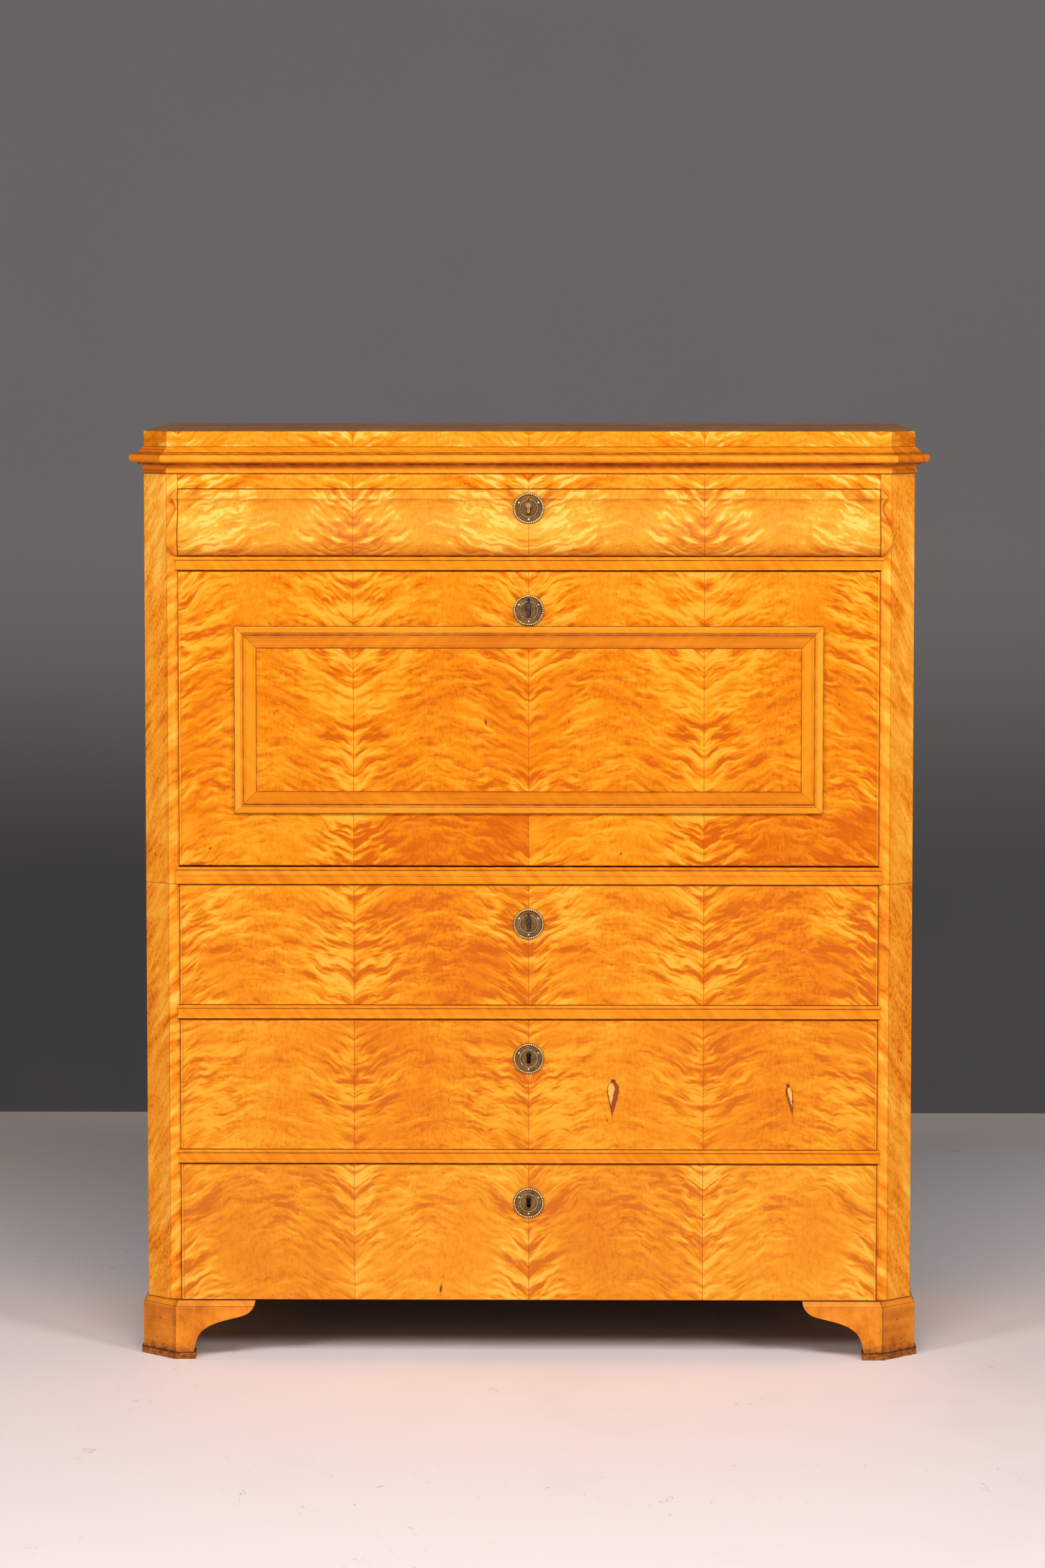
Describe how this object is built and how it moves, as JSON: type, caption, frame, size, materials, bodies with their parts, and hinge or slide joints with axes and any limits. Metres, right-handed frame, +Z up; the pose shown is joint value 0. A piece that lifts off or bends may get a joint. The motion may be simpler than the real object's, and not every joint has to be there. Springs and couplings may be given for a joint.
{
  "type": "fall front secretaire",
  "caption": "Tall fall front secretaire in flame birch: ogee top drawer, framed writing flap, lower drawers, canted corners, bracket feet. Flap, drawers, keys and bolts move.",
  "frame": {"origin": "on the floor under the middle of the whole object's bounding box, keys included", "axes": "+Z up, +X to the right of someone facing the drawers, and the fronts face -Y"},
  "size_m": [1.149, 0.5466, 1.34],
  "materials": {
    "flame_birch": "book-matched flame figured birch veneer under golden semi-gloss shellac",
    "straight_birch": "plain birch mouldings, feet and inner boards under orange semi-gloss shellac",
    "inner_pine": "unfinished pale pine for drawer boxes, bottoms, dust floor and backs",
    "dark_brass": "darkened pressed brass, worn bright on the raised rings",
    "bright_brass": "cleaned bright brass",
    "iron": "dark iron, smooth and lightly oiled"
  },
  "bodies": {
    "case": {"bottom_board": "inner_pine", "cornice_moulding": "straight_birch", "desk_board": "straight_birch", "divider_1": "straight_birch", "divider_2": "straight_birch", "divider_3": "straight_birch", "foot_back_left": "straight_birch", "foot_back_right": "straight_birch", "foot_front_left": "straight_birch", "foot_front_right": "straight_birch", "frieze_rail": "flame_birch", "gallery_case": "straight_birch", "gallery_partition_left": "straight_birch", "gallery_partition_right": "straight_birch", "lower_back": "inner_pine", "lower_post_left": "flame_birch", "lower_post_right": "flame_birch", "lower_side_left": "flame_birch", "lower_side_right": "flame_birch", "top_board": "flame_birch", "upper_back": "inner_pine", "upper_post_left": "flame_birch", "upper_post_right": "flame_birch", "upper_side_left": "flame_birch", "upper_side_right": "flame_birch", "waist_board": "straight_birch"},
    "top_drawer": {"top_drawer_front": "flame_birch", "top_drawer_frame": "inner_pine", "top_drawer_bottom": "inner_pine", "top_drawer_escutcheon": "dark_brass", "top_drawer_lock": "iron"},
    "drawer_2": {"drawer_2_front": "flame_birch", "drawer_2_frame": "inner_pine", "drawer_2_bottom": "inner_pine", "drawer_2_escutcheon": "dark_brass", "drawer_2_lock": "iron"},
    "drawer_3": {"drawer_3_front": "flame_birch", "drawer_3_frame": "inner_pine", "drawer_3_bottom": "inner_pine", "drawer_3_escutcheon": "dark_brass", "drawer_3_lock": "iron"},
    "drawer_4": {"drawer_4_front": "flame_birch", "drawer_4_frame": "inner_pine", "drawer_4_bottom": "inner_pine", "drawer_4_escutcheon": "dark_brass", "drawer_4_lock": "iron"},
    "fall": {"fall_panel": "flame_birch", "fall_moulding": "straight_birch", "fall_pivot_left": "iron", "fall_pivot_right": "iron", "fall_escutcheon": "dark_brass", "fall_lock": "iron"},
    "top_drawer_key": {"top_drawer_key": "bright_brass"},
    "top_drawer_bolt": {"top_drawer_bolt": "iron"},
    "fall_key": {"fall_key": "iron"},
    "fall_bolt": {"fall_bolt": "iron"},
    "drawer_2_key": {"drawer_2_key": "iron"},
    "drawer_2_bolt": {"drawer_2_bolt": "iron"},
    "small_drawer_left": {"small_drawer_left": "flame_birch"},
    "small_drawer_right": {"small_drawer_right": "flame_birch"}
  },
  "joints": [
    {"name": "top_drawer_slide", "type": "slide", "parent": "case", "child": "top_drawer", "axis": [0, -1, 0], "range_m": [0, 0.34]},
    {"name": "drawer_2_slide", "type": "slide", "parent": "case", "child": "drawer_2", "axis": [0, -1, 0], "range_m": [0, 0.34]},
    {"name": "drawer_3_slide", "type": "slide", "parent": "case", "child": "drawer_3", "axis": [0, -1, 0], "range_m": [0, 0.34]},
    {"name": "drawer_4_slide", "type": "slide", "parent": "case", "child": "drawer_4", "axis": [0, -1, 0], "range_m": [0, 0.34]},
    {"name": "fall_hinge", "type": "hinge", "parent": "case", "child": "fall", "pos_m": [0, -0.2187, 0.757], "axis": [1, 0, 0], "range_deg": [0, 90]},
    {"name": "top_drawer_key_turn", "type": "hinge", "parent": "top_drawer", "child": "top_drawer_key", "pos_m": [0, -0.236, 1.236], "axis": [0, 1, 0], "range_deg": [0, 360]},
    {"name": "top_drawer_bolt_slide", "type": "slide", "parent": "top_drawer", "child": "top_drawer_bolt", "axis": [0, 0, 1], "range_m": [0, 0.008]},
    {"name": "fall_key_turn", "type": "hinge", "parent": "fall", "child": "fall_key", "pos_m": [0, -0.2317, 1.0899], "axis": [0, 1, 0], "range_deg": [0, 360]},
    {"name": "fall_bolt_slide", "type": "slide", "parent": "fall", "child": "fall_bolt", "axis": [0, 0, 1], "range_m": [0, 0.008]},
    {"name": "drawer_2_key_turn", "type": "hinge", "parent": "drawer_2", "child": "drawer_2_key", "pos_m": [0, -0.2317, 0.6385], "axis": [0, 1, 0], "range_deg": [0, 360]},
    {"name": "drawer_2_bolt_slide", "type": "slide", "parent": "drawer_2", "child": "drawer_2_bolt", "axis": [0, 0, 1], "range_m": [0, 0.008]},
    {"name": "small_drawer_left_slide", "type": "slide", "parent": "case", "child": "small_drawer_left", "axis": [0, -1, 0], "range_m": [0, 0.165]},
    {"name": "small_drawer_right_slide", "type": "slide", "parent": "case", "child": "small_drawer_right", "axis": [0, -1, 0], "range_m": [0, 0.165]}
  ],
  "couplings": [
    {"joint": "top_drawer_bolt_slide", "follows": "top_drawer_key_turn", "m_per_rad": 0.0012732},
    {"joint": "fall_bolt_slide", "follows": "fall_key_turn", "m_per_rad": 0.0012732},
    {"joint": "drawer_2_bolt_slide", "follows": "drawer_2_key_turn", "m_per_rad": 0.0012732}
  ]
}
